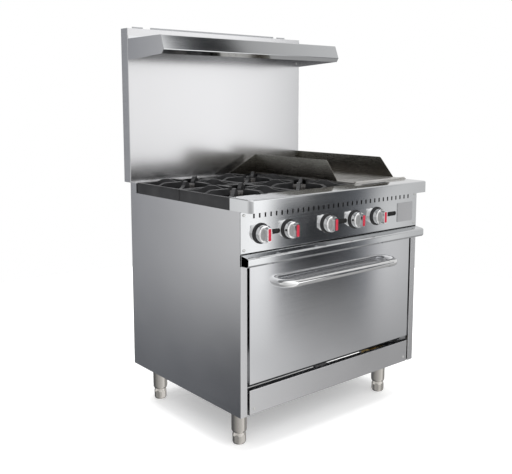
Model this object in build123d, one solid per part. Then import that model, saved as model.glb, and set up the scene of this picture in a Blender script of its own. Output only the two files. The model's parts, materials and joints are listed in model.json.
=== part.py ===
from build123d import *
import os

# Commercial gas range, 36 in wide: four open burners, a griddle, a standard oven,
# a backsplash with a high shelf, and four adjustable legs.
# Millimetres. X to the right, Y to the rear, Z up. Origin on the floor under the
# middle of the overall box, which runs from the door handle to the back of the flue.

os.makedirs("parts", exist_ok=True)

# ---- driving dimensions ------------------------------------------------------
width = 914.4
half = width / 2
sheet = 1.2
heavy_sheet = 2.0
bend = 2.0
gap = 0.3

leg_height = 152.0
body_top = 858.0
cook_top = 902.0
splash_top = 1498.0
flue_height = 11.0

body_depth = 701.0
splash_depth = 51.0
handle_reach = 46.0
handle_radius = 14.5

# The front plane of the body, placed so that the overall box is centred on Y = 0.
face_y = (handle_reach + handle_radius - body_depth - splash_depth) / 2
rear_y = face_y + body_depth
splash_rear = rear_y + splash_depth

section = width / 3
post_width = 30.0
post_return = 14.0

ledge_overhang = 50.0
ledge_rear = face_y + 56.5
ledge_corner = 16.0

grate_rows = (face_y + 206.2, face_y + 505.0)
grate_columns = (-section, 0.0)
grate_width = section - 1.8
grate_depth = 297.6
grate_height = 41.5
burner_level = body_top + 20.0

rail_front = 40.0
rail_top = 714.5
rail_bottom = 676.0
tray_split = -158.0
tray_depth = 600.0

panel_bottom = 717.0
knob_level = 779.0
knob_places = (-369.0, -242.0, -53.0, 91.0, 213.0)
knob_radius = 30.0
bezel_radius = 35.5
stem_radius = 4.0
running = 0.05
pilot_slot_ends = (-283.0, 48.0, 329.0)
vent_count = 33
vent_pitch = 25.0
vent_first = -399.0

door_half = 417.5
door_bottom = 260.0
door_top = 671.0
door_depth = 29.0
hinge_y = face_y + 24.0
hinge_z = 268.0
hinge_pin_radius = 3.0
handle_level = 598.0
handle_half = 294.0
handle_bend = 42.0
bar_half = 232.0

kick_top = 240.0
kick_half = 418.0

oven_half = 330.0
oven_front = face_y + 46.0
oven_depth = 570.0
oven_floor = 285.0
oven_roof = 650.0
deck_level = 300.0
rack_levels = {"lower": 380.0, "upper": 510.0}
rack_half = 317.0
rack_front = face_y + 78.0
rack_depth = 520.0
guide_levels = (380.0, 445.0, 510.0, 575.0)

leg_x = 375.0
leg_rows = {"front": face_y + 113.0, "rear": face_y + 637.0}
leg_radius = 29.0
leg_end = 45.0
foot_radius = 25.5
foot_stem = 15.0

griddle_left = section / 2 + 1.0
griddle_right = half - 0.8
griddle_top = 905.0
griddle_thickness = 19.0
griddle_rear = face_y + 655.0
guard_height = 79.0

shelf_level = 1456.0
shelf_half = 453.3
shelf_bolt_x = 437.0
shelf_bolt_levels = (1392.0, 1412.0)
kick_screw_x = 398.0
kick_screw_z = 172.0

manifold_y = face_y + 78.0
pipe_radius = 13.35
pipe_x = 408.0


# ---- helpers -----------------------------------------------------------------
def save(shape, name):
    """Write one sub-part as its own file."""
    export_step(shape, f"parts/{name}.step")


def block(x, y, z):
    """A box between two corners, each axis given as (low, high)."""
    middle = Pos((x[0] + x[1]) / 2, (y[0] + y[1]) / 2, (z[0] + z[1]) / 2)
    return middle * Box(x[1] - x[0], y[1] - y[0], z[1] - z[0])


def facing_front(x, y, z):
    """Drawing plane that faces the front, with X to the right and Z up."""
    return Plane(origin=(x, y, z), x_dir=(1, 0, 0), z_dir=(0, -1, 0))


def rod(start, end, radius):
    """A round bar from one point to another."""
    run = Vector(*end) - Vector(*start)
    standing = (Align.CENTER, Align.CENTER, Align.MIN)
    return Plane(origin=start, z_dir=run) * Cylinder(radius, run.length, align=standing)


def folded(points, thickness=sheet, side=Side.LEFT, radius=bend):
    """The section of a folded sheet; the points follow one of its faces."""
    path = FilletPolyline(*points, radius=radius)
    return make_face(offset(path, thickness, side=side))


def upright(face, low, high):
    """A plan section made into a part that stands from low to high."""
    return Pos(0, 0, low) * extrude(face, high - low, dir=(0, 0, 1))


def along_x(face, left, right):
    """A side section, drawn in Y and Z, run from left to right."""
    return extrude(Plane.YZ.offset(left) * face, right - left, dir=(1, 0, 0))


def both_sides(shape):
    """The shape and its mirror image about the middle of the range."""
    return [shape, mirror(shape, about=Plane.YZ)]


# ---- cabinet -----------------------------------------------------------------
def side_panel():
    """Right-hand skin: front post, side, rear flange, and ledges top and bottom."""
    inner_post = half - post_width
    plan = [
        (inner_post, face_y + post_return),
        (inner_post, face_y),
        (half, face_y),
        (half, rear_y),
        (half - 25, rear_y),
    ]
    lower = upright(folded(plan), leg_height, rail_bottom - gap)
    upper_plan = [(half, face_y + 1.5), (half, rear_y), (half - 25, rear_y)]
    upper = upright(folded(upper_plan), rail_bottom - gap, body_top)
    ledge_y = (face_y + 33, rear_y - 20)
    bottom = block((half - 25, half - sheet / 2), ledge_y, (leg_height, leg_height + sheet))
    top = block((half - 22, half - sheet / 2), ledge_y, (body_top - sheet, body_top))
    return lower + upper + bottom + top


def rear_panel():
    """Flat back with rows of vents and a hole for the gas pipe."""
    panel = block((-450, 450), (rear_y, rear_y + sheet), (leg_height + 4, cook_top - 12))
    through = (rear_y - 5, rear_y + 5)
    for level in (215.0, 240.0, 265.0):
        for x in range(-300, 301, 120):
            panel -= block((x - 40, x + 40), through, (level, level + 8))
    pipe_hole = rod((pipe_x, rear_y - 5, knob_level), (pipe_x, rear_y + 5, knob_level), 20)
    return panel - pipe_hole


def base_frame():
    """Welded ring of channels, open upwards, that carries the legs."""
    inner = 345.0
    outer = half - 26
    low = leg_height
    high = leg_height + 25
    front = face_y + 32
    side_section = folded(
        [(inner, high), (inner, low), (outer, low), (outer, high)], heavy_sheet, Side.LEFT
    )
    rail = extrude(facing_front(0, front, 0) * side_section, rear_y - 30 - front, dir=(0, 1, 0))
    frame = rail + mirror(rail, about=Plane.YZ)
    for row in leg_rows.values():
        cross = folded(
            [(row - 30, high), (row - 30, low), (row + 30, low), (row + 30, high)],
            heavy_sheet,
            Side.LEFT,
        )
        frame += along_x(cross, -inner - sheet, inner + sheet)
    return frame


def top_frame():
    """Hat-section bars under the edges of the grates and of the griddle."""
    low = body_top - 20
    bar_half = 12.0
    front = face_y + 62
    rear = griddle_rear - 4
    frame = None
    for x in (-section / 2, section / 2):
        hat = folded(
            [(x - bar_half, low), (x - bar_half, body_top), (x + bar_half, body_top), (x + bar_half, low)],
            heavy_sheet,
            Side.RIGHT,
        )
        bar = extrude(facing_front(0, front, 0) * hat, rear - front, dir=(0, 1, 0))
        frame = bar if frame is None else frame + bar
    reach = half - 24
    for y in (front, rear - 2 * heavy_sheet):
        frame += block((-reach, reach), (y, y + 2 * heavy_sheet), (low, body_top))
    return frame


def kick_panel():
    """Removable panel below the door, folded back at top and bottom."""
    section_line = [
        (face_y + 15, kick_top),
        (face_y, kick_top),
        (face_y, leg_height),
        (face_y + 31, leg_height),
    ]
    panel = along_x(folded(section_line), -kick_half, kick_half)
    for x in (-kick_screw_x, kick_screw_x):
        panel -= rod((x, face_y - 5, kick_screw_z), (x, face_y + 5, kick_screw_z), 2.4)
    return panel


# ---- control panel -----------------------------------------------------------
def control_panel():
    """Folded fascia with vents, five shaft holes, three pilot slots and screw holes."""
    section_line = [
        (face_y + 22, panel_bottom),
        (face_y, panel_bottom),
        (face_y, body_top - gap),
        (face_y + 30, body_top - gap),
    ]
    panel = along_x(folded(section_line, side=Side.RIGHT), -half + sheet + gap, half - sheet - gap)
    through = (face_y - 5, face_y + 5)
    for i in range(vent_count):
        x = vent_first + i * vent_pitch
        panel -= block((x - 3.5, x + 3.5), through, (832.5, 855.5))
    for x in knob_places:
        panel -= rod((x, face_y - 5, knob_level), (x, face_y + 5, knob_level), 7)
    for end in pilot_slot_ends:
        slot = facing_front(end - 28, face_y, knob_level) * SlotOverall(56, 17)
        panel -= extrude(slot, 5, both=True)
    for x, z in screw_places():
        panel -= rod((x, face_y - 5, z), (x, face_y + 5, z), 2.4)
    drain_notch = block((264, 292), (face_y + 8, face_y + 40), (body_top - 8, body_top + 2))
    return panel - drain_notch


def screw_places():
    """The four corners of the control panel."""
    return [(x, z) for x in (-442.0, 442.0) for z in (729.0, 846.0)]


def pan_head(x, z, y):
    """A pan-head screw whose head rests on the plane y, facing the front."""
    head = rod((x, y, z), (x, y - 2.8, z), 5)
    head = fillet(head.edges().sort_by(Axis.Y)[0], 1.6)
    return head + rod((x, y, z), (x, y + 8, z), 2.3)


def screws():
    """Screws of the control panel and the kick panel, and bolts of the high shelf."""
    found = [pan_head(x, z, face_y) for x, z in screw_places()]
    found += [pan_head(x, kick_screw_z, face_y) for x in (-kick_screw_x, kick_screw_x)]
    for x in (-shelf_bolt_x, shelf_bolt_x):
        found += [pan_head(x, z, rear_y - 1.7) for z in shelf_bolt_levels]
    return Compound(children=found)


def badge_plate():
    """Blank plate on the right of the control panel."""
    plate = block((336, 428), (face_y - 2.5, face_y), (742, 817))
    return fillet(plate.edges().filter_by(Axis.Y), 2.5)


def knob_bezel(x):
    """Black ring on the panel behind a knob."""
    ring = rod((x, face_y, knob_level), (x, face_y - 5, knob_level), bezel_radius)
    ring = fillet(ring.edges().sort_by(Axis.Y)[0], 2)
    return ring - rod((x, face_y + 1, knob_level), (x, face_y - 9, knob_level), 9)


def knob(x):
    """Turned body with a raised grip bar, slotted for its coloured strip."""
    back = face_y - 5 - gap
    front = face_y - 26
    body = rod((x, back, knob_level), (x, front, knob_level), knob_radius)
    body = fillet(body.edges().sort_by(Axis.Y)[0], 4)
    body = fillet(body.edges().sort_by(Axis.Y)[-1], 1)
    grip = extrude(facing_front(x, front + 1, knob_level) * RectangleRounded(21, 49, 8), 21, taper=3)
    strip = extrude(facing_front(x, front - 18.5, knob_level) * RectangleRounded(13, 41, 2), 4)
    body = body + grip - strip
    bore = rod((x, back + 1, knob_level), (x, back - 19, knob_level), stem_radius + running)
    return body - bore


def burner_valve(x):
    """Plug valve on the manifold with its stem through the panel."""
    body_front = manifold_y - pipe_radius - 34
    body = rod((x, manifold_y - pipe_radius + 4, knob_level), (x, body_front, knob_level), 12)
    collar = rod((x, body_front, knob_level), (x, body_front - 6, knob_level), 9)
    stem = rod((x, body_front, knob_level), (x, face_y - 23, knob_level), stem_radius)
    spud = rod((x, body_front + 16, knob_level), (x, body_front + 16, knob_level + 24), 6)
    return body + collar + stem + spud


def gas_manifold():
    """Supply pipe along the front, an elbow, and the run back to the inlet."""
    path = FilletPolyline(
        (-430, manifold_y, knob_level),
        (pipe_x, manifold_y, knob_level),
        (pipe_x, rear_y + 38, knob_level),
        radius=32,
    )
    start = Plane(origin=path @ 0, z_dir=path % 0)
    pipe = sweep(start * Circle(pipe_radius), path=path)
    cap = rod((-430, manifold_y, knob_level), (-440, manifold_y, knob_level), 17)
    behind = Plane(origin=(pipe_x, rear_y + sheet, knob_level), x_dir=(1, 0, 0), z_dir=(0, 1, 0))
    lock_nut = extrude(behind * RegularPolygon(22, 6), 5 - sheet)
    for x in knob_places:
        hole = rod((x, manifold_y, knob_level), (x, manifold_y - 30, knob_level), 12 + gap)
        pipe -= hole
    return pipe + cap + lock_nut


# ---- top of the body ---------------------------------------------------------
def front_ledge():
    """Hollow bullnose in front of the cooking top, with a grease slot."""
    front = face_y - ledge_overhang
    shape = block((-half + 0.7, half - 0.7), (front, ledge_rear), (body_top, cook_top))
    corners = shape.edges().filter_by(Axis.Z).sort_by(Axis.Y)[:2]
    shape = fillet(corners, ledge_corner)
    shape = fillet(shape.faces().sort_by(Axis.Z)[-1].edges().filter_by(Axis.X).sort_by(Axis.Y)[:1], 5)
    rear_face = shape.faces().sort_by(Axis.Y)[-1]
    shape = offset(shape, amount=-1.5, openings=rear_face)
    under = block((-half + 30, half - 30), (face_y + 9, ledge_rear + 5), (body_top - 5, body_top + 5))
    slot = block((152, 293), (face_y + 16, face_y + 33), (cook_top - 10, cook_top + 10))
    return shape - under - slot


def rear_rail():
    """Folded rail between the cooking top and the backsplash."""
    front = griddle_rear + 1.5
    section_line = [
        (front, body_top),
        (front, body_top + 39),
        (rear_y - 0.5, body_top + 39),
        (rear_y - 0.5, body_top),
    ]
    reach = half - 0.7
    rail = along_x(folded(section_line, side=Side.RIGHT), -reach, reach)
    for x in (-reach, reach - sheet):
        rail += block((x, x + sheet), (front + 0.1, rear_y - 0.6), (body_top, body_top + 38))
    return rail


def finger(points, thickness, angle):
    """One cast arm of a grate, drawn as distance from the burner and height."""
    outline = make_face(Polyline(*points, close=True))
    outline = fillet(outline.vertices(), 2.0)
    arm = extrude(Plane.XZ * outline, thickness / 2, both=True)
    return Rot(0, 0, angle) * arm


def grate():
    """Cast top grate about its own centre, standing on z = 0."""
    top = grate_height
    outer = RectangleRounded(grate_width, grate_depth, 7)
    inner = RectangleRounded(grate_width - 24, grate_depth - 24, 10)
    bowl = RectangleRounded(grate_width - 12, grate_depth - 12, 5)
    skirt = extrude(outer, top)
    skirt -= extrude(inner, top)
    skirt -= extrude(bowl, top - 9)
    corner_reach = (grate_width**2 + grate_depth**2) ** 0.5 / 2 - 7
    high = [
        (44, top - 14),
        (44, top + 2),
        (64, top + 9),
        (82, top + 17),
        (104, top + 17),
        (128, top + 6),
        (154, top),
        (corner_reach, top),
        (corner_reach, top - 22),
        (120, top - 18),
    ]
    side_reach = grate_depth / 2 - 3
    flat = [
        (42, top - 12),
        (42, top + 9),
        (120, top + 9),
        (side_reach - 4, top),
        (side_reach, top - 16),
    ]
    corner_angle = 44.5
    shape = skirt
    for angle in (corner_angle, 180 - corner_angle, 180 + corner_angle, -corner_angle):
        shape += finger(high, 13, angle)
    for angle in (0, 90, 180, 270):
        shape += finger(flat, 17, angle)
    return shape


def burner_head():
    """Two-tier cast burner about its own centre, standing on z = 0."""
    outline = Polyline(
        (0, 2), (13, 2), (13, -8), (17, -8), (17, 0), (38, 7), (38, 14), (30, 19), (0, 21), close=True
    )
    head = revolve(Plane.XZ * make_face(outline), Axis.Z)
    port_count = 16
    for i in range(port_count):
        port = Pos(37, 0, 11) * Box(6, 2.6, 7)
        head -= Rot(0, 0, i * 360 / port_count) * port
    return head


def venturi(start_x, burner_x, burner_y):
    """Mixing tube from behind the valve to the throat under one burner."""
    level = knob_level + 36
    mouth = (start_x, face_y + 104, level)
    foot = (burner_x, burner_y, level)
    tube = rod(mouth, foot, 13)
    flare = Plane(origin=mouth, z_dir=Vector(*foot) - Vector(*mouth)) * Cone(
        20, 13, 40, align=(Align.CENTER, Align.CENTER, Align.MIN)
    )
    throat = rod((burner_x, burner_y, level - 13), (burner_x, burner_y, burner_level), 19)
    seat = rod((burner_x, burner_y, burner_level - 12), (burner_x, burner_y, burner_level + 1), 17 + gap)
    return tube + flare + throat - seat


def griddle_plate():
    """Ground steel plate on welded skirts, with a low rim along its front edge."""
    x = (griddle_left, griddle_right)
    y = (ledge_rear + 1.5, griddle_rear)
    plate = block(x, y, (griddle_top - griddle_thickness, griddle_top))
    skirt_z = (body_top, griddle_top - griddle_thickness)
    skirts = block(x, y, skirt_z) - block(
        (x[0] + 5, x[1] - 5), (y[0] + 5, y[1] - 5), (skirt_z[0] - 1, skirt_z[1] + 1)
    )
    level = griddle_top + 1
    rim = rod((x[0] + 4, y[0] + 4.5, level), (x[1] - 6, y[0] + 4.5, level), 4)
    end = Pos(x[1] - 6, y[0] + 4.5, level) * Sphere(4)
    return plate + skirts + rim + end


def guard(outline, x):
    """Upright splash guard cut from sheet; the second point is its rounded top corner."""
    face = make_face(Polyline(*outline, close=True))
    top_corner = face.vertices().sort_by_distance((*outline[1], 0))[:1]
    return along_x(fillet(top_corner, 14), x, x + heavy_sheet)


def griddle_guard_left():
    """Left guard with its rear wing folded over behind the rear grate."""
    top = griddle_top + guard_height
    rear = griddle_rear + 1.2
    outline = [
        (face_y + 155, griddle_top),
        (face_y + 214, top),
        (rear, top),
        (rear, griddle_top),
    ]
    side = guard(outline, griddle_left)
    wing_line = [
        (griddle_left + heavy_sheet, top),
        (griddle_left - 158, griddle_top),
        (griddle_left - 158, griddle_top - 6),
        (griddle_left + heavy_sheet, griddle_top - 6),
    ]
    wing = facing_front(0, rear, 0) * make_face(Polyline(*wing_line, close=True))
    return side + extrude(wing, heavy_sheet - 0.2, dir=(0, 1, 0))


def griddle_guard_right():
    """Right guard, which runs back to a flange on the backsplash."""
    top = griddle_top + guard_height
    x = half - heavy_sheet - 0.7
    outline = [
        (face_y + 124, griddle_top),
        (face_y + 195, top),
        (rear_y - 1.2, top),
        (rear_y - 1.2, griddle_top),
    ]
    flange = block((x - 16, x + 1), (rear_y - 3.0, rear_y - 1.2), (griddle_top, top))
    return guard(outline, x) + flange


def grease_gutter():
    """Trough under the grease slot, with a drain pipe down to the crumb tray."""
    x = (148.0, 300.0)
    y = (face_y + 10, face_y + 40)
    trough = block(x, y, (866, cook_top - 1.5 - gap))
    trough -= block((x[0] + 1.5, x[1] - 1.5), (y[0] + 1.5, y[1] - 1.5), (867.5, cook_top))
    drain = (278.0, face_y + 25)
    pipe = rod((*drain, 722), (*drain, 867), 12)
    bore = rod((*drain, 721), (*drain, 869), 10.5)
    return trough + pipe - bore


def griddle_burner():
    """U-shaped burner under the griddle plate with its mixing tube."""
    level = knob_level + 36
    middle = (griddle_left + griddle_right) / 2
    path = FilletPolyline(
        (knob_places[4], face_y + 104, level),
        (knob_places[4], face_y + 600, level),
        (middle + 90, face_y + 600, level),
        (middle + 90, face_y + 130, level),
        radius=60,
    )
    start = Plane(origin=path @ 0, z_dir=path % 0)
    return sweep(start * Circle(14), path=path)


# ---- backsplash and shelf ----------------------------------------------------
def backsplash():
    """Front skin of the flue riser, folded back at both sides."""
    wide = half - 2
    plan = [
        (-wide + 18, splash_rear),
        (-wide, splash_rear),
        (-wide, rear_y),
        (wide, rear_y),
        (wide, splash_rear),
        (wide - 18, splash_rear),
    ]
    skin = upright(folded(plan), cook_top - 7, splash_top)
    for x in (-shelf_bolt_x, shelf_bolt_x):
        for z in shelf_bolt_levels:
            skin -= rod((x, rear_y - 5, z), (x, rear_y + 5, z), 2.6)
    return skin


def backsplash_cover():
    """Rear skin of the riser with the raised collar of the flue outlet."""
    y = (splash_rear - 2 * sheet - 0.1, splash_rear - sheet - 0.1)
    cover = block((-435, 435), y, (cook_top - 7, splash_top))
    cover += block((-328, 328), (y[0] - 10, y[1]), (splash_top - 1.2, splash_top))
    collar = (splash_top - 1.2, splash_top + flue_height)
    cover += block((-328, 328), (y[0] - 10, y[0] - 8.8), collar)
    for x in (-406.0, 356.0):
        cover += block((x, x + 50), y, collar)
    return cover


def splash_post():
    """Channel bolted to the rear of the body that carries the riser."""
    plan = [
        (310, rear_y + sheet),
        (310, rear_y + sheet + 24),
        (350, rear_y + sheet + 24),
        (350, rear_y + sheet),
    ]
    return upright(folded(plan, heavy_sheet, Side.RIGHT), 560, 1180)


def high_shelf():
    """Shelf sheet with an upstand, a leaning front lip and a return fold."""
    section_line = [
        (rear_y - 0.5, shelf_level + 14),
        (rear_y - 0.5, shelf_level),
        (face_y + 467, shelf_level),
        (face_y + 447, 1404),
        (face_y + 457, 1389),
    ]
    return along_x(folded(section_line, 1.5, Side.RIGHT), -shelf_half, shelf_half)


def shelf_bracket():
    """End plate of the shelf with a flange that is bolted to the riser."""
    outline = [
        (rear_y - 0.5, 1376),
        (rear_y - 0.5, shelf_level),
        (face_y + 467, shelf_level),
        (face_y + 447, 1404),
        (face_y + 457, 1389),
    ]
    plate = along_x(make_face(Polyline(*outline, close=True)), shelf_half + 0.2, shelf_half + 1.9)
    flange = block((shelf_half - 28, shelf_half + 1), (rear_y - 1.7, rear_y - 0.5), (1378, 1430))
    for z in shelf_bolt_levels:
        flange -= rod((shelf_bolt_x, rear_y - 5, z), (shelf_bolt_x, rear_y + 5, z), 2.6)
    return plate + flange


# ---- oven --------------------------------------------------------------------
def oven_liner():
    """Open-fronted oven box with the face flange that the door closes on."""
    depth = (oven_front - 5, oven_front + oven_depth)
    inner = block((-oven_half, oven_half), depth, (oven_floor, oven_roof))
    outer = block(
        (-oven_half - sheet, oven_half + sheet),
        (oven_front - sheet, oven_front + oven_depth + sheet),
        (oven_floor - sheet, oven_roof + sheet),
    )
    flange_half = half - post_width - gap
    flange = block((-flange_half, flange_half), (oven_front - sheet, oven_front), (232, rail_bottom - 4))
    liner = outer + flange - inner
    for x in (-90.0, 90.0):
        outlet = block((x - 50, x + 50), (oven_front + oven_depth - 5, rear_y), (610, 635))
        liner -= outlet
    for x in (-300.0, 300.0):
        slot_y = (oven_front + 80, oven_front + 480)
        liner -= block((x - 12, x + 12), slot_y, (oven_floor - 5, oven_floor + 5))
    return liner


def oven_deck():
    """Lift-out bottom plate with folded edges and a row of heat slots each side."""
    reach = oven_half - 4
    section_line = [
        (-reach, oven_floor),
        (-reach, deck_level),
        (reach, deck_level),
        (reach, oven_floor),
    ]
    sheet_face = facing_front(0, oven_front + 6, 0) * folded(section_line, 1.5, Side.RIGHT)
    deck = extrude(sheet_face, oven_depth - 12, dir=(0, 1, 0))
    for x in (-290.0, 290.0):
        for i in range(6):
            y = oven_front + 70 + i * 75
            deck -= block((x - 5, x + 5), (y, y + 50), (deck_level - 5, deck_level + 5))
    return deck


def oven_burner():
    """Straight tube burner below the oven box with its mixer and two cradles."""
    level = 214.0
    tube = rod((0, face_y + 120, level), (0, face_y + 560, level), 19)
    mixer = Plane(origin=(0, face_y + 74, level), z_dir=(0, 1, 0)) * Cone(
        27, 19, 46, align=(Align.CENTER, Align.CENTER, Align.MIN)
    )
    burner = tube + mixer
    for row in leg_rows.values():
        y = row - 80 if row > 0 else row + 60
        burner += block((-30, 30), (y, y + 3), (leg_height + 40, level))
    return burner


def oven_valve():
    """Thermostatic gas valve behind the kick panel."""
    body = block((250, 330), (face_y + 50, face_y + 96), (180, 226))
    body = fillet(body.edges().filter_by(Axis.Y), 8)
    dial = rod((290, face_y + 50, 203), (290, face_y + 34, 203), 17)
    outlet = rod((250, face_y + 73, 203), (236, face_y + 73, 203), 9)
    return body + dial + outlet


def rack_guide():
    """Wire ladder on the right oven wall that the racks slide on."""
    x = oven_half - 4
    radius = 3.0
    front = rack_front + 40
    rear = rack_front + rack_depth - 60
    guide = None
    for y in (front, rear):
        post = rod((x, y, deck_level + 30), (x, y, oven_roof - 30), radius)
        guide = post if guide is None else guide + post
    for level in guide_levels:
        z = level - 3 - radius - gap
        guide += rod((rack_half, rack_front + 20, z), (rack_half, rear + 40, z), radius)
        for y in (front, rear):
            guide += rod((x, y, z), (rack_half, y, z), radius - 0.5)
    return guide


def oven_rack(level):
    """Wire rack: a rod frame, two stiffeners and a row of bars from front to back."""
    frame_radius = 3.0
    bar_radius = 2.0
    rear = rack_front + rack_depth
    corners = [
        (-rack_half, rack_front),
        (rack_half, rack_front),
        (rack_half, rear),
        (-rack_half, rear),
    ]
    rack = None
    for i in range(4):
        a = corners[i]
        b = corners[(i + 1) % 4]
        run = rod((*a, level), (*b, level), frame_radius) + Pos(*a, level) * Sphere(frame_radius)
        rack = run if rack is None else rack + run
    bar_count = 13
    for i in range(bar_count):
        x = -rack_half + (i + 1) * 2 * rack_half / (bar_count + 1)
        z = level + 1.0
        rack += rod((x, rack_front, z), (x, rear, z), bar_radius)
    return rack


# ---- door --------------------------------------------------------------------
def door_skin():
    """Outer pan of the oven door, open at the back."""
    y = (face_y, face_y + door_depth)
    pan = block((-door_half, door_half), y, (door_bottom, door_top))
    pan = fillet(pan.edges().filter_by(Axis.Y), 3)
    pan = fillet(pan.faces().sort_by(Axis.Y)[0].edges(), 2)
    pan = offset(pan, amount=-sheet, openings=pan.faces().sort_by(Axis.Y)[-1])
    for x in (-door_half, door_half):
        pan -= rod((x - 4, hinge_y, hinge_z), (x + 4, hinge_y, hinge_z), 4.5)
    for x in (-handle_half, handle_half):
        pan -= rod((x, face_y - 5, handle_level), (x, face_y + 5, handle_level), 4.2)
    return pan


def door_liner():
    """Inner pan of the door with a raised field that fits inside the oven mouth."""
    y = face_y + door_depth
    plate = block((-door_half + 1, door_half - 1), (y, y + sheet), (door_bottom + 2, door_top - 1))
    field = block((-oven_half + 14, oven_half - 14), (y, y + 13), (oven_floor + 8, oven_roof - 8))
    field = fillet(field.edges().filter_by(Axis.Y), 12)
    field = chamfer(field.faces().sort_by(Axis.Y)[-1].edges(), 5)
    hollow = block((-oven_half + 22, oven_half - 22), (y - 1, y + 11.5), (oven_floor + 16, oven_roof - 16))
    liner = plate + field - hollow
    for x in (-door_half, door_half):
        liner -= rod((x - 20, hinge_y, hinge_z), (x + 20, hinge_y, hinge_z), 6.5)
    return liner


def door_gasket():
    """Woven seal around the oven mouth."""
    y = face_y + door_depth + sheet + gap
    deep = oven_front - sheet - y
    mouth = facing_front(0, oven_front - sheet, (oven_floor + oven_roof) / 2)
    tall = oven_roof - oven_floor
    ring = RectangleRounded(2 * oven_half + 26, tall + 20, 16) - RectangleRounded(
        2 * oven_half + 4, tall + 2, 8
    )
    return extrude(mouth * ring, deep)


def handle_elbow(side):
    """Cast end of the handle: a foot on the door and a bend that takes the bar."""
    x = side * handle_half
    y_bar = face_y - handle_reach
    path = FilletPolyline(
        (x, face_y, handle_level),
        (x, y_bar, handle_level),
        (side * bar_half, y_bar, handle_level),
        radius=handle_bend,
    )
    start = Plane(origin=path @ 0, z_dir=path % 0)
    elbow = sweep(start * Circle(handle_radius), path=path)
    stud = rod((x, face_y + 12, handle_level), (x, face_y - 2, handle_level), 4)
    return elbow + stud


def handle_bar():
    """Straight tube between the two elbows, slightly slimmer than they are."""
    y_bar = face_y - handle_reach
    ends = ((-bar_half, y_bar, handle_level), (bar_half, y_bar, handle_level))
    return rod(*ends, handle_radius - 1.2) - rod(*ends, handle_radius - 2.7)


def hinge_arm():
    """Reinforcing plate inside the right of the door, bored for the hinge pin."""
    plate = block((398, 404), (face_y + 1.6, face_y + door_depth - 0.1), (door_bottom + 1.6, 330))
    plate = fillet(plate.edges().filter_by(Axis.X).sort_by(Axis.Z)[-2:], 8)
    return plate - rod((390, hinge_y, hinge_z), (410, hinge_y, hinge_z), hinge_pin_radius + running)


def hinge_bracket():
    """Plate on the oven flange beside the door, with the riveted hinge pin."""
    z = (hinge_z - 9, hinge_z + 9)
    flange_face = oven_front - sheet
    plate = block((door_half + 2.5, door_half + 5.5), (hinge_y - 9, flange_face), z)
    plate = fillet(plate.edges().filter_by(Axis.X).sort_by(Axis.Y)[:2], 8)
    foot = block((door_half - 14.5, door_half + 5.5), (flange_face - 3, flange_face), z)
    pin = rod((396, hinge_y, hinge_z), (door_half + 5, hinge_y, hinge_z), hinge_pin_radius)
    return plate + foot + pin


# ---- crumb trays -------------------------------------------------------------
def tray_deck():
    """Sheet over the oven that the crumb trays slide on, with its side runners."""
    reach = half - sheet - 0.2
    deck = block((-reach, reach), (face_y + 6, face_y + 640), (678, 679.2))
    for x in (-reach, reach - sheet, tray_split - sheet / 2):
        deck += block((x, x + sheet), (face_y + 8, face_y + 640), (679, 690))
    return deck


def crumb_tray(left, right):
    """Pull-out tray: a shallow pan behind a bullnose front folded from sheet, open at its ends."""
    nose_line = [
        (face_y - 1.5, rail_bottom),
        (face_y - rail_front + 6, rail_bottom + 1.5),
        (face_y - rail_front, rail_bottom + 8),
        (face_y - rail_front, rail_top - 9.5),
        (face_y - rail_front + 5, rail_top - 5),
        (face_y - 1.5, rail_top),
    ]
    nose = make_face(Polyline(*nose_line, close=True))
    nose = fillet(nose.vertices().sort_by(Axis.X)[:4], 3.5)
    nose = along_x(nose, left, right)
    ends = nose.faces().filter_by(Axis.X)
    nose = offset(nose, amount=-sheet, openings=[nose.faces().sort_by(Axis.Y)[-1], *ends])
    nose += block((left, right), (face_y - 1.5 - sheet, face_y - 1.5), (rail_bottom, rail_top))
    pan_x = (max(left, -half + 4.5) + 2.0, min(right, half - 4.5) - 2.0)
    pan_y = (face_y - 1.5 - sheet, face_y + tray_depth)
    pan_z = (679.5, 707.0)
    pan = block(pan_x, pan_y, pan_z)
    pan = offset(pan, amount=-sheet, openings=pan.faces().sort_by(Axis.Z)[-1])
    return nose + pan


# ---- legs --------------------------------------------------------------------
def leg(x, y):
    """Steel leg with a mounting plate and a bored insert for the foot's stem."""
    outline = Polyline(
        (leg_radius, leg_height - 4),
        (leg_radius - 0.8, leg_end + 8),
        (leg_radius - 3, leg_end + 2),
        (leg_radius - 5, leg_end),
        (foot_stem + running, leg_end),
        (foot_stem + running, leg_end + 25),
        (leg_radius - 3, leg_end + 25),
        (leg_radius - 3, leg_height - 4),
        close=True,
    )
    tube = revolve(Plane.XZ * make_face(outline), Axis.Z)
    plate = block((-38, 38), (-34, 34), (leg_height - 4, leg_height))
    plate = fillet(plate.edges().filter_by(Axis.Z), 8)
    return Pos(x, y, 0) * (tube + plate)


def foot(x, y):
    """Adjustable foot with six flats and a stem that runs in the leg."""
    top = leg_end - 1.0
    outline = Polyline(
        (0, 0), (18, 0), (22.5, 3), (foot_radius, 10), (foot_radius, 32), (22.5, top), (foot_stem, top),
        (foot_stem, leg_end + 50), (0, leg_end + 50), close=True
    )
    shape = revolve(Plane.XZ * make_face(outline), Axis.Z)
    hexagon = extrude(RegularPolygon(24.2, 6, major_radius=False), 200)
    return Pos(x, y, 0) * (shape & hexagon)


# ---- write every sub-part ----------------------------------------------------
right_panel = side_panel()
save(right_panel, "side_panel_right")
save(mirror(right_panel, about=Plane.YZ), "side_panel_left")
save(rear_panel(), "rear_panel")
save(base_frame(), "base_frame")
save(top_frame(), "top_frame")
save(kick_panel(), "kick_panel")

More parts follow.
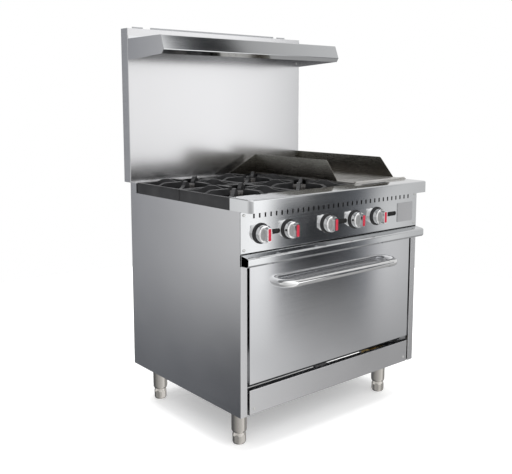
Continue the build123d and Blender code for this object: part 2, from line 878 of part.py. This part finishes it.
save(control_panel(), "control_panel")
save(badge_plate(), "badge_plate")
save(screws(), "screws")
save(Compound(children=[knob_bezel(x) for x in knob_places]), "knob_bezels")
save(Compound(children=[burner_valve(x) for x in knob_places]), "burner_valves")
for number, place in enumerate(knob_places, start=1):
    save(knob(place), f"knob_{number}")
save(gas_manifold(), "gas_manifold")

save(front_ledge(), "front_ledge")
save(rear_rail(), "rear_rail")
casting = grate()
head = burner_head()
for column, column_name in zip(grate_columns, ("left", "right")):
    for row, row_name in zip(grate_rows, ("front", "rear")):
        save(Pos(column, row, body_top + gap) * casting, f"grate_{row_name}_{column_name}")
        save(Pos(column, row, burner_level) * head, f"burner_head_{row_name}_{column_name}")
venturis = [
    venturi(knob_places[1], grate_columns[0], grate_rows[0]),
    venturi(knob_places[0], grate_columns[0], grate_rows[1]),
    venturi(knob_places[2], grate_columns[1], grate_rows[0]),
    venturi(knob_places[3], grate_columns[1], grate_rows[1]),
]
save(Compound(children=venturis), "burner_venturis")
save(griddle_plate(), "griddle_plate")
save(griddle_guard_left(), "griddle_guard_left")
save(griddle_guard_right(), "griddle_guard_right")
save(griddle_burner(), "griddle_burner")
save(grease_gutter(), "grease_gutter")

save(backsplash(), "backsplash")
save(backsplash_cover(), "backsplash_cover")
save(Compound(children=both_sides(splash_post())), "splash_posts")
save(high_shelf(), "high_shelf")
save(Compound(children=both_sides(shelf_bracket())), "shelf_brackets")

save(oven_liner(), "oven_liner")
save(oven_deck(), "oven_deck")
save(oven_burner(), "oven_burner")
save(oven_valve(), "oven_valve")
save(Compound(children=both_sides(rack_guide())), "rack_guides")
for rack_name, rack_level in rack_levels.items():
    save(oven_rack(rack_level), f"oven_rack_{rack_name}")

save(door_skin(), "door_skin")
save(door_liner(), "door_liner")
save(door_gasket(), "door_gasket")
save(Compound(children=[handle_elbow(-1), handle_elbow(1)]), "handle_elbows")
save(handle_bar(), "handle_bar")
save(Compound(children=both_sides(hinge_arm())), "door_hinge_arms")
save(Compound(children=both_sides(hinge_bracket())), "hinge_brackets")

save(tray_deck(), "tray_deck")
save(crumb_tray(-half + 2.7, tray_split - 0.5), "crumb_tray_left")
save(crumb_tray(tray_split + 0.5, half - 2.7), "crumb_tray_right")

legs = []
for row_name, row in leg_rows.items():
    for side_name, place in (("left", -leg_x), ("right", leg_x)):
        legs.append(leg(place, row))
        save(foot(place, row), f"foot_{row_name}_{side_name}")
save(Compound(children=legs), "legs")
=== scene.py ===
import json
from math import cos, pi, radians, sin

import bmesh
import bpy
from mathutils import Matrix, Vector


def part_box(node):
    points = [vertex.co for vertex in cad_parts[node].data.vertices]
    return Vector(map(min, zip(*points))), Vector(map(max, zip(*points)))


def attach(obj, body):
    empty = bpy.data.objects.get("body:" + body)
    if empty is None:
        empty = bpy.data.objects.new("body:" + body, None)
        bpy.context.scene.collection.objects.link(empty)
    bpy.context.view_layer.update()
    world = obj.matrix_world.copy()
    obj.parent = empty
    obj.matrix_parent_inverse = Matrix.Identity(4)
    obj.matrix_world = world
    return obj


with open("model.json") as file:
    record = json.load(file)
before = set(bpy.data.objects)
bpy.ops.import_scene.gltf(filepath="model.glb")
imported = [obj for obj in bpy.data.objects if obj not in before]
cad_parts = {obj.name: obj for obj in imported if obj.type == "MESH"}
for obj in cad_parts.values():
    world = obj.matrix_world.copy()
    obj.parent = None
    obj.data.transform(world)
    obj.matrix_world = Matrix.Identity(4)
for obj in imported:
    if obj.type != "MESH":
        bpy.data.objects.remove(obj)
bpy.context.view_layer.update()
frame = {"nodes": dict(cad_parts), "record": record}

# Looks for a commercial gas range. Metres, in the frame of the CAD model: X to the right,
# Y to the rear, Z up, with the floor at Z = 0.

SLOT_OF = {s["node"]: s["material_slot"] for s in frame["record"]["subparts"]}
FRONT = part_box("side_panel_left")[0].y


# ---- material helpers --------------------------------------------------------
def start(name, values):
    """A new material with one Principled shader; plain values go on its own sockets."""
    material = bpy.data.materials.new(name)
    material.use_nodes = True
    shader = material.node_tree.nodes["Principled BSDF"]
    for socket, value in values.items():
        shader.inputs[socket].default_value = value
    return material, material.node_tree, shader


def make(tree, kind, inputs=None, **settings):
    """A node with its settings, and with its inputs given values or links."""
    node = tree.nodes.new(kind)
    for key, value in settings.items():
        setattr(node, key, value)
    for socket, value in (inputs or {}).items():
        if isinstance(value, bpy.types.NodeSocket):
            tree.links.new(value, node.inputs[socket])
        else:
            node.inputs[socket].default_value = value
    return node


def place(tree, scales, turn=(0, 0, 0)):
    """Object coordinates, in metres, stretched by a scale for each axis."""
    where = make(tree, "ShaderNodeTexCoord").outputs["Object"]
    inputs = {"Vector": where, "Scale": scales, "Rotation": turn}
    return make(tree, "ShaderNodeMapping", inputs).outputs["Vector"]


def noise(tree, scales, detail=2.0, roughness=0.5):
    inputs = {"Vector": place(tree, scales), "Scale": 1.0, "Detail": detail, "Roughness": roughness}
    return make(tree, "ShaderNodeTexNoise", inputs).outputs["Fac"]


def spread(tree, value, low, high, start_at=0.25, end_at=0.75):
    """Turn a pattern into numbers from low to high."""
    inputs = {"Value": value, "From Min": start_at, "From Max": end_at, "To Min": low, "To Max": high}
    return make(tree, "ShaderNodeMapRange", inputs).outputs["Result"]


def ramp(tree, value, stops):
    """Turn a pattern into colours; stops are (place, colour)."""
    node = make(tree, "ShaderNodeValToRGB", {"Fac": value})
    for i, (at, colour) in enumerate(stops):
        stop = node.color_ramp.elements[i] if i < 2 else node.color_ramp.elements.new(at)
        stop.position = at
        stop.color = (*colour, 1)
    return node.outputs["Color"]


def combine(tree, a, b, operation="ADD"):
    return make(tree, "ShaderNodeMath", {0: a, 1: b}, operation=operation).outputs[0]


def add_bump(tree, shader, height, distance, strength=1.0):
    inputs = {"Height": height, "Distance": distance, "Strength": strength}
    tree.links.new(make(tree, "ShaderNodeBump", inputs).outputs["Normal"], shader.inputs["Normal"])


def shade(colour, factor):
    return tuple(min(1.0, c * factor) for c in colour)


# ---- materials ---------------------------------------------------------------
GRAINS = {"X": (3, 700, 700), "Y": (700, 3, 700), "Z": (700, 700, 3)}


def brushed_steel(name, colour, roughness, grain="X", relief=0.000002):
    """Stainless sheet: fine parallel scratches, soft smudges and a slightly uneven tone."""
    material, tree, shader = start(name, {"Metallic": 1.0})
    scratches = noise(tree, GRAINS[grain], 3.0, 0.6)
    smudges = noise(tree, (5, 5, 7), 4.0, 0.55)
    tone = combine(tree, combine(tree, scratches, 0.5, "MULTIPLY"), combine(tree, smudges, 0.5, "MULTIPLY"))
    colours = ramp(tree, tone, [(0.3, shade(colour, 0.965)), (0.7, shade(colour, 1.03))])
    tree.links.new(colours, shader.inputs["Base Color"])
    fine = spread(tree, scratches, -0.02, 0.02)
    gloss = combine(tree, fine, spread(tree, smudges, roughness - 0.015, roughness + 0.02))
    tree.links.new(gloss, shader.inputs["Roughness"])
    add_bump(tree, shader, scratches, relief)
    return material


def guard_steel():
    """Griddle guard: satin steel that heat and smoke have toned olive brown near the plate."""
    material, tree, shader = start("guard_steel", {"Metallic": 1.0, "Anisotropic": 0.5})
    scratches = noise(tree, GRAINS["Y"], 3.0, 0.6)
    clouds = noise(tree, (9, 9, 22), 4.0, 0.6)
    height = make(tree, "ShaderNodeSeparateXYZ", {"Vector": place(tree, (1, 1, 1))}).outputs["Z"]
    low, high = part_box("griddle_guard_left")
    heat = spread(tree, height, 0.0, 0.55, low.z, high.z)
    tone = combine(tree, combine(tree, clouds, 0.45, "MULTIPLY"), heat)
    stops = [(0.1, (0.10, 0.085, 0.07)), (0.5, (0.21, 0.2, 0.18)), (0.85, (0.34, 0.34, 0.31))]
    tree.links.new(ramp(tree, tone, stops), shader.inputs["Base Color"])
    marks = combine(tree, scratches, clouds, "MULTIPLY")
    tree.links.new(spread(tree, marks, 0.26, 0.42), shader.inputs["Roughness"])
    add_bump(tree, shader, scratches, 0.000004)
    return material


def ground_steel():
    """Griddle plate: ground flat, with crossing scraper marks and a faint straw tint."""
    material, tree, shader = start("ground_steel", {"Metallic": 1.0, "Anisotropic": 0.3})
    grind = noise(tree, (500, 6, 500), 3.0, 0.6)
    scrape = noise(tree, (14, 420, 300), 3.0, 0.6)
    tint = noise(tree, (7, 5, 5), 3.0, 0.5)
    stops = [(0.3, (0.50, 0.48, 0.45)), (0.6, (0.66, 0.65, 0.63)), (0.8, (0.74, 0.74, 0.74))]
    marks = combine(tree, grind, scrape, "MULTIPLY")
    tone = combine(tree, combine(tree, marks, 1.1, "MULTIPLY"), combine(tree, tint, 0.5, "MULTIPLY"))
    tree.links.new(ramp(tree, tone, stops), shader.inputs["Base Color"])
    tree.links.new(spread(tree, marks, 0.22, 0.42, 0.1, 0.45), shader.inputs["Roughness"])
    add_bump(tree, shader, marks, 0.00001)
    return material


def chrome(name, colour, roughness):
    """Polished plating with faint smears and pinhead specks."""
    material, tree, shader = start(name, {"Metallic": 1.0})
    smear = noise(tree, (30, 30, 30), 3.0, 0.6)
    colours = ramp(tree, smear, [(0.3, shade(colour, 0.94)), (0.7, colour)])
    tree.links.new(colours, shader.inputs["Base Color"])
    tree.links.new(spread(tree, smear, roughness * 0.7, roughness * 1.6), shader.inputs["Roughness"])
    specks = noise(tree, (900, 900, 900), 1.0)
    add_bump(tree, shader, specks, 0.000003)
    return material


def cast_iron(name, dark, pale_tone, grit=0.00018, roughness=0.5):
    """Sand-cast iron: a pebbled skin, uneven seasoning and a lighter colour at convex edges."""
    values = {"Specular IOR Level": 0.3}
    material, tree, shader = start(name, values)
    sand = noise(tree, (650, 650, 650), 3.0, 0.65)
    lumps = noise(tree, (90, 90, 90), 3.0, 0.6)
    seasoning = noise(tree, (14, 14, 14), 4.0, 0.6)
    edge = spread(tree, make(tree, "ShaderNodeNewGeometry").outputs["Pointiness"], 0.0, 0.35, 0.5, 0.6)
    tone = combine(tree, combine(tree, seasoning, 0.6, "MULTIPLY"), edge)
    stops = [(0.2, shade(dark, 0.7)), (0.45, dark), (0.9, pale_tone)]
    tree.links.new(ramp(tree, tone, stops), shader.inputs["Base Color"])
    skin = combine(tree, sand, seasoning, "MULTIPLY")
    gloss = spread(tree, skin, roughness - 0.14, roughness + 0.12, 0.12, 0.42)
    tree.links.new(gloss, shader.inputs["Roughness"])
    height = combine(tree, combine(tree, sand, 0.5, "MULTIPLY"), lumps)
    add_bump(tree, shader, height, grit)
    return material


def galvanised(name, colour, roughness=0.42):
    """Zinc-coated sheet with its crystal spangle."""
    material, tree, shader = start(name, {"Metallic": 1.0})
    inputs = {"Vector": place(tree, (60, 60, 60)), "Scale": 1.0, "Randomness": 1.0}
    cells = make(tree, "ShaderNodeTexVoronoi", inputs, feature="F1")
    tone = make(tree, "ShaderNodeSeparateColor", {"Color": cells.outputs["Color"]}).outputs["Red"]
    colours = ramp(tree, tone, [(0, shade(colour, 0.8)), (1, shade(colour, 1.12))])
    tree.links.new(colours, shader.inputs["Base Color"])
    tree.links.new(spread(tree, tone, roughness - 0.08, roughness + 0.1, 0, 1), shader.inputs["Roughness"])
    add_bump(tree, shader, noise(tree, (200, 200, 200), 2.0), 0.00002)
    return material


def enamel():
    """Dark porcelain enamel with pale flecks and a glassy coat."""
    values = {"Roughness": 0.22, "Coat Weight": 0.6, "Coat Roughness": 0.08}
    material, tree, shader = start("enamel", values)
    flecks = noise(tree, (420, 420, 420), 1.0)
    stops = [(0.0, (0.035, 0.037, 0.045)), (0.66, (0.045, 0.047, 0.055)), (0.72, (0.42, 0.43, 0.45))]
    tree.links.new(ramp(tree, flecks, stops), shader.inputs["Base Color"])
    add_bump(tree, shader, noise(tree, (120, 120, 120), 2.0), 0.00008)
    return material


def black_plastic():
    """Moulded phenolic plastic with a fine matte grain."""
    material, tree, shader = start("black_plastic", {"Specular IOR Level": 0.45})
    grain = noise(tree, (1500, 1500, 1500), 2.0)
    stops = [(0.3, (0.008, 0.008, 0.009)), (0.7, (0.02, 0.02, 0.022))]
    tree.links.new(ramp(tree, grain, stops), shader.inputs["Base Color"])
    tree.links.new(spread(tree, noise(tree, (60, 60, 60)), 0.32, 0.5), shader.inputs["Roughness"])
    add_bump(tree, shader, grain, 0.00003)
    return material


def red_insert():
    """Translucent crimson plastic strip with slight moulding flow."""
    values = {"Specular IOR Level": 0.5, "Subsurface Weight": 0.08}
    material, tree, shader = start("red_insert", values)
    flow = noise(tree, (250, 250, 60), 2.0)
    stops = [(0.3, (0.36, 0.004, 0.022)), (0.7, (0.47, 0.009, 0.036))]
    tree.links.new(ramp(tree, flow, stops), shader.inputs["Base Color"])
    tree.links.new(spread(tree, flow, 0.25, 0.38), shader.inputs["Roughness"])
    add_bump(tree, shader, flow, 0.00003)
    return material


def machined(name, colour, roughness=0.3):
    """Turned brass or similar: rings of tool marks and light tarnish."""
    material, tree, shader = start(name, {"Metallic": 1.0})
    tarnish = noise(tree, (40, 40, 40), 4.0, 0.6)
    tool = noise(tree, (400, 2200, 400), 1.0)
    colours = ramp(tree, tarnish, [(0.3, shade(colour, 0.62)), (0.7, colour)])
    tree.links.new(colours, shader.inputs["Base Color"])
    tree.links.new(spread(tree, tarnish, roughness + 0.14, roughness), shader.inputs["Roughness"])
    add_bump(tree, shader, tool, 0.00002)
    return material


def painted_pipe():
    """Black steel pipe with mill scale."""
    material, tree, shader = start("black_pipe", {"Metallic": 0.3})
    scale = noise(tree, (80, 80, 80), 4.0, 0.6)
    stops = [(0.3, (0.018, 0.018, 0.02)), (0.75, (0.06, 0.055, 0.05))]
    tree.links.new(ramp(tree, scale, stops), shader.inputs["Base Color"])
    tree.links.new(spread(tree, scale, 0.35, 0.6), shader.inputs["Roughness"])
    add_bump(tree, shader, scale, 0.0001)
    return material


def woven_seal():
    """Glass-fibre rope: two crossing sets of strands."""
    material, tree, shader = start("woven_seal", {"Roughness": 0.85, "Sheen Weight": 0.3})
    inputs = {"Vector": place(tree, (420, 420, 420), (0, radians(45), 0)), "Scale": 1.0, "Distortion": 0.4}
    one = make(tree, "ShaderNodeTexWave", inputs, bands_direction="X").outputs["Fac"]
    other = make(tree, "ShaderNodeTexWave", inputs, bands_direction="Z").outputs["Fac"]
    weave = combine(tree, one, other, "MULTIPLY")
    stops = [(0.0, (0.09, 0.085, 0.08)), (1.0, (0.32, 0.31, 0.29))]
    tree.links.new(ramp(tree, weave, stops), shader.inputs["Base Color"])
    add_bump(tree, shader, weave, 0.0006)
    return material


def painted_shade_black():
    """Painted shade: a near-black, faintly mottled sheet that stands for the unlit space behind slots and
    gaps.
    """
    material, tree, shader = start("painted_shade_black", {"Roughness": 0.8})
    shade_mottle = noise(tree, (60, 60, 60), 3.0)
    # Painted shade: colours close to black stand for the unlit space inside, with faint mottling.
    stops = [(0.3, (0.003, 0.003, 0.003)), (0.7, (0.012, 0.012, 0.012))]
    tree.links.new(ramp(tree, shade_mottle, stops), shader.inputs["Base Color"])
    add_bump(tree, shader, shade_mottle, 0.0002)
    return material


MATERIALS = {
    "satin_stainless": brushed_steel("satin_stainless", (0.62, 0.62, 0.63), 0.2, "Y"),
    "polished_stainless": brushed_steel("polished_stainless", (0.66, 0.67, 0.68), 0.075, "X"),
    "door_stainless": brushed_steel("door_stainless", (0.62, 0.625, 0.64), 0.08, "X"),
    "leg_steel": brushed_steel("leg_steel", (0.60, 0.575, 0.54), 0.18, "Z"),
    "guard_steel": guard_steel(),
    "ground_steel": ground_steel(),
    "galvanised": galvanised("galvanised", (0.52, 0.53, 0.545)),
    "aluminised": galvanised("aluminised", (0.55, 0.55, 0.55), 0.5),
    "grey_casting": cast_iron("grey_casting", (0.10, 0.10, 0.105), (0.25, 0.25, 0.25)),
    "black_iron": cast_iron("black_iron", (0.006, 0.006, 0.0065), (0.05, 0.05, 0.052), 0.00008, 0.42),
    "burner_iron": cast_iron("burner_iron", (0.03, 0.028, 0.027), (0.13, 0.12, 0.115)),
    "black_pipe": painted_pipe(),
    "enamel": enamel(),
    "polished_chrome": chrome("polished_chrome", (0.86, 0.86, 0.86), 0.06),
    "rack_wire": chrome("rack_wire", (0.72, 0.72, 0.72), 0.14),
    "bright_screws": chrome("bright_screws", (0.74, 0.74, 0.72), 0.2),
    "black_plastic": black_plastic(),
    "brass": machined("brass", (0.75, 0.56, 0.24)),
    "woven_seal": woven_seal(),
}
RED = red_insert()
# Painted shade: the near-black material of the sheets behind the slots.
PAINTED_SHADE = painted_shade_black()

for node_name, node_object in frame["nodes"].items():
    node_object.data.materials.clear()
    node_object.data.materials.append(MATERIALS[SLOT_OF[node_name]])


# ---- pieces ------------------------------------------------------------------
def piece(name, shape, material, body):
    """Turn a bmesh, built in the frame of the range, into an object that rides on a body."""
    bmesh.ops.recalc_face_normals(shape, faces=shape.faces)
    mesh = bpy.data.meshes.new(name)
    shape.to_mesh(mesh)
    shape.free()
    mesh.materials.append(material)
    built = bpy.data.objects.new(name, mesh)
    bpy.context.scene.collection.objects.link(built)
    mesh.shade_smooth()
    mesh.set_sharp_from_angle(angle=radians(32))
    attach(built, body)
    return built


def add_block(shape, low, high):
    """A rectangular block between two corners."""
    corners = [
        shape.verts.new((x, y, z))
        for z in (low[2], high[2])
        for x, y in ((low[0], low[1]), (high[0], low[1]), (high[0], high[1]), (low[0], high[1]))
    ]
    rings = ((3, 2, 1, 0), (4, 5, 6, 7), (0, 1, 5, 4), (1, 2, 6, 5), (2, 3, 7, 6), (3, 0, 4, 7))
    for ring in rings:
        shape.faces.new([corners[i] for i in ring])


def add_lathe(shape, centre, outline, steps=64):
    """A turned form about an axis that points to the front; outline is (radius, y) pairs."""
    loops = []
    for radius, y in outline:
        turns = [2 * pi * i / steps for i in range(steps)]
        loops.append([
            shape.verts.new((centre.x + radius * cos(t), y, centre.z + radius * sin(t))) for t in turns
        ])
    for a, b in zip(loops, loops[1:]):
        for i in range(steps):
            shape.faces.new((a[i], a[(i + 1) % steps], b[(i + 1) % steps], b[i]))
    return loops


def add_rounded_bar(shape, centre, half_wide, half_tall, corner, sections, steps=8):
    """A bar that points to the front with rounded corners; sections are (inset, y) pairs."""
    loops = []
    for inset, y in sections:
        loop = []
        for k, (sx, sz) in enumerate(((1, 1), (-1, 1), (-1, -1), (1, -1))):
            radius = max(corner - inset, 0.0002)
            for i in range(steps + 1):
                t = pi / 2 * (k + i / steps)
                x = sx * (half_wide - inset - radius) + radius * cos(t)
                z = sz * (half_tall - inset - radius) + radius * sin(t)
                loop.append(shape.verts.new((centre.x + x, y, centre.z + z)))
        loops.append(loop)
    for a, b in zip(loops, loops[1:]):
        for i in range(len(a)):
            shape.faces.new((a[i], a[(i + 1) % len(a)], b[(i + 1) % len(a)], b[i]))
    shape.faces.new(loops[-1])


def knob_face_steel():
    """The knob's flat face: turned and lightly brushed, so less mirror-like than its rim."""
    material, tree, shader = start("knob_face", {"Metallic": 1.0})
    lines = noise(tree, (1200, 1200, 60), 2.0, 0.6)
    greys = ramp(tree, lines, [(0.3, (0.5, 0.5, 0.5)), (0.7, (0.62, 0.62, 0.62))])
    tree.links.new(greys, shader.inputs["Base Color"])
    tree.links.new(spread(tree, lines, 0.24, 0.36), shader.inputs["Roughness"])
    add_bump(tree, shader, lines, 0.000003)
    return material


KNOB_FACE = knob_face_steel()
GRIP_HEIGHT = 0.020
STRIP_HALF_WIDE, STRIP_HALF_TALL, STRIP_CORNER = 0.0061, 0.0201, 0.0018


def dress_knob(number):
    """A rounded bright rim, a brushed disc and the coloured strip of the grip, for one knob."""
    body = f"knob_{number}"
    low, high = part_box(body)
    centre = (low + high) / 2
    radius = (high.x - low.x) / 2
    front = low.y
    disc = front + GRIP_HEIGHT

    rim = bmesh.new()
    add_lathe(rim, centre, [
        (radius - 0.0005, disc + 0.004), (radius - 0.0006, disc + 0.0008), (radius - 0.0022, disc - 0.0006),
        (radius - 0.0045, disc - 0.0009), (0.0116, disc - 0.0009), (0.0112, disc + 0.001),
    ])
    piece(f"knob_rim_{number}", rim, MATERIALS["polished_chrome"], body)

    plate = bmesh.new()
    loops = add_lathe(plate, centre, [
        (radius - 0.0056, disc - 0.0008), (radius - 0.006, disc - 0.0013), (0.004, disc - 0.0013),
    ])
    plate.faces.new(loops[-1])
    piece(f"knob_disc_{number}", plate, KNOB_FACE, body)

    strip = bmesh.new()
    add_rounded_bar(strip, centre, STRIP_HALF_WIDE, STRIP_HALF_TALL, STRIP_CORNER, [
        (0.0, front + 0.0014), (0.0, front - 0.0002), (0.0003, front - 0.0006), (0.0009, front - 0.0008),
    ])
    piece(f"knob_strip_{number}", strip, RED, body)


for knob_number in range(1, 6):
    dress_knob(knob_number)

# A near-black sheet just behind the panel, seen through the vent row and the three pilot slots: painted
# shade for the unlit space inside.
VENT_HALF, VENT_LOW, VENT_HIGH = 0.425, 0.8325, 0.8555
PILOT_SLOT_ENDS = (-0.283, 0.048, 0.329)
PILOT_SLOT_LONG, PILOT_BACKING_HALF_TALL, SIDE_MARGIN = 0.056, 0.010, 0.002
BACKING_NEAR, BACKING_FAR = 0.003, 0.0045
panel_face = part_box("control_panel")[0].y
knob_low, knob_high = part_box("knob_1")
knob_level = (knob_low.z + knob_high.z) / 2
openings = [(-VENT_HALF, VENT_HALF, VENT_LOW - 0.0035, VENT_HIGH + 0.001)]
for end in PILOT_SLOT_ENDS:
    openings.append((
        end - PILOT_SLOT_LONG - SIDE_MARGIN, end + SIDE_MARGIN,
        knob_level - PILOT_BACKING_HALF_TALL, knob_level + PILOT_BACKING_HALF_TALL,
    ))
for number, (left, right, low, high) in enumerate(openings, start=1):
    backing = bmesh.new()
    add_block(backing, (left, panel_face + BACKING_NEAR, low), (right, panel_face + BACKING_FAR, high))
    piece(f"slot_backing_{number}", backing, PAINTED_SHADE, "range_body")


# ---- studio ------------------------------------------------------------------
# What the metal reflects, by the direction it looks in: degrees from straight ahead, positive to
# the right, and brightness. The white card on the left ends at a dark gap with a grey card beyond.
OVERHEAD = [(0, 1.4), (90, 1.0)]
HIGH = [(0, 1.2), (42.5, 1.4), (44.3, 0.1), (46, 0.02), (48.5, 0.02), (50, 0.5), (57, 0.72), (90, 0.8)]
LEVEL = [
    (0, 1.1), (30, 1.25), (37, 1.55), (42.5, 1.5), (44.6, 0.1), (48.5, 0.12), (51, 0.75), (90, 0.8),
]
LOW = [
    (0, 0.6), (30, 0.9), (38, 1.15), (40.6, 1.5), (41.6, 0.12), (44, 0.03), (46.7, 0.05), (48.4, 0.2),
    (49.8, 0.95), (52.5, 0.66), (90, 0.5),
]
FLOOR = [(0, 0.8), (36, 1.05), (40, 0.84), (44, 0.58), (48, 0.5), (51, 0.42), (90, 0.4)]
# The same for every direction to the left, which is what the left side panel looks into.
LEFT_OVERHEAD = [(-180, 0.9), (0, 1.4)]
LEFT_HIGH = [(-180, 0.5), (-60, 0.6), (0, 1.2)]
LEFT_LEVEL = [(-180, 0.25), (-151, 0.27), (-141, 1.0), (-60, 0.7), (0, 1.1)]
LEFT_LOW = [(-180, 0.2), (-151, 0.22), (-141, 0.95), (-60, 0.5), (0, 0.6)]
LEFT_FLOOR = [(-180, 0.12), (-151, 0.14), (-146, 0.2), (-141, 0.08), (-60, 0.5), (0, 0.8)]
# Between which heights of the direction each ring gives way to the next, from the floor upwards.
HEIGHTS = [(-0.34, -0.21), (-0.15, -0.08), (0.12, 0.5), (0.7, 0.9)]
COOL, WARM, DARK = (0.93, 0.98, 1.08), (1.0, 1.0, 1.0), 0.35


def around(tree, turn, stops):
    """Brightness as a ramp round the horizon; dark stretches are slightly blue."""
    first, last = stops[0][0], stops[-1][0]
    colours = []
    for degrees, level in stops:
        tint = COOL if level < DARK else WARM
        colours.append(((degrees - first) / (last - first), tuple(level * t for t in tint)))
    return ramp(tree, spread(tree, turn, 0.0, 1.0, radians(first), radians(last)), colours)


def dome(tree, turn, height, rings):
    """Rings of brightness, one above the other, blended by height."""
    colour = around(tree, turn, rings[0])
    for stops, (low, high) in zip(rings[1:], HEIGHTS):
        share = spread(tree, height, 0.0, 1.0, low, high)
        colour = blend_colours(tree, share, colour, around(tree, turn, stops))
    return colour


def blend_colours(tree, factor, a, b):
    """Mix two colours; a Mix node's colour sockets are its inputs 6 and 7 and its output 2."""
    return make(tree, "ShaderNodeMix", {0: factor, 6: a, 7: b}, data_type="RGBA").outputs[2]


def studio_world():
    """White to the camera; to the metal, cards at the left and right with a dark gap between."""
    world = bpy.data.worlds.new("studio")
    bpy.context.scene.world = world
    world.use_nodes = True
    tree = world.node_tree
    tree.nodes.clear()
    way = make(tree, "ShaderNodeTexCoord").outputs["Generated"]
    parts = make(tree, "ShaderNodeSeparateXYZ", {"Vector": way}).outputs
    turn = combine(tree, parts["X"], combine(tree, parts["Y"], -1.0, "MULTIPLY"), "ARCTAN2")
    front = dome(tree, turn, parts["Z"], (FLOOR, LOW, LEVEL, HIGH, OVERHEAD))
    left = dome(tree, turn, parts["Z"], (LEFT_FLOOR, LEFT_LOW, LEFT_LEVEL, LEFT_HIGH, LEFT_OVERHEAD))
    colour = blend_colours(tree, combine(tree, turn, 0.0, "GREATER_THAN"), left, front)
    studio = make(tree, "ShaderNodeBackground", {"Color": colour, "Strength": 1.0})
    plain = make(tree, "ShaderNodeBackground", {"Color": (1, 1, 1, 1), "Strength": 1.0})
    seen = make(tree, "ShaderNodeLightPath").outputs["Is Camera Ray"]
    join = make(tree, "ShaderNodeMixShader", {0: seen, 1: studio.outputs[0], 2: plain.outputs[0]})
    output = make(tree, "ShaderNodeOutputWorld")
    tree.links.new(join.outputs[0], output.inputs["Surface"])


def area_light(name, where, aim, size, power):
    """A rectangular softbox that points at a place; it lights matt surfaces and casts shadows."""
    data = bpy.data.lights.new(name, "AREA")
    data.shape = "RECTANGLE"
    data.size, data.size_y = size
    data.energy = power
    light = bpy.data.objects.new(name, data)
    light.location = where
    light.rotation_euler = (Vector(aim) - Vector(where)).to_track_quat("-Z", "Y").to_euler()
    light.visible_glossy = False
    bpy.context.scene.collection.objects.link(light)


def pale_floor(radius=2.6):
    """A round sheet of pale board for the range to stand on."""
    mesh = bpy.data.meshes.new("floor")
    shape = bmesh.new()
    bmesh.ops.create_circle(shape, cap_ends=True, radius=radius, segments=128)
    shape.to_mesh(mesh)
    shape.free()
    floor = bpy.data.objects.new("floor", mesh)
    floor.visible_glossy = False
    bpy.context.scene.collection.objects.link(floor)
    values = {"Roughness": 0.7, "Specular IOR Level": 0.2, "Emission Strength": 0.3}
    material, tree, shader = start("pale_floor", values)
    clouds = noise(tree, (3, 3, 3), 3.0)
    pale = ramp(tree, clouds, [(0.3, (0.90, 0.90, 0.90)), (0.7, (0.93, 0.93, 0.93))])
    tree.links.new(pale, shader.inputs["Base Color"])
    tree.links.new(pale, shader.inputs["Emission Color"])
    mesh.materials.append(material)


CAMERA_LEFT, CAMERA_AHEAD, CAMERA_HIGH = 1.908, 1.8253, 1.2142
CAMERA_TURN, CAMERA_TILT = 39.746, -7.704


def photo_camera():
    """Camera at the front left, a little above the cooking top."""
    data = bpy.data.cameras.new("camera")
    data.lens = 51.02
    data.shift_y = -0.0723
    camera = bpy.data.objects.new("camera", data)
    camera.location = (-CAMERA_LEFT, FRONT - CAMERA_AHEAD, CAMERA_HIGH)
    turn, tilt = radians(CAMERA_TURN), radians(CAMERA_TILT)
    look = Vector((sin(turn) * cos(tilt), cos(turn) * cos(tilt), sin(tilt)))
    camera.rotation_euler = look.to_track_quat("-Z", "Y").to_euler()
    bpy.context.scene.collection.objects.link(camera)
    bpy.context.scene.camera = camera


bpy.context.scene.view_settings.view_transform = "Standard"
studio_world()
area_light("key", (-2.6, -3.4, 3.2), (0, 0, 0.8), (2.4, 1.8), 90)
area_light("overhead", (0.0, 0.0, 4.2), (0, 0, 0.5), (3.4, 3.4), 120)
pale_floor()
photo_camera()
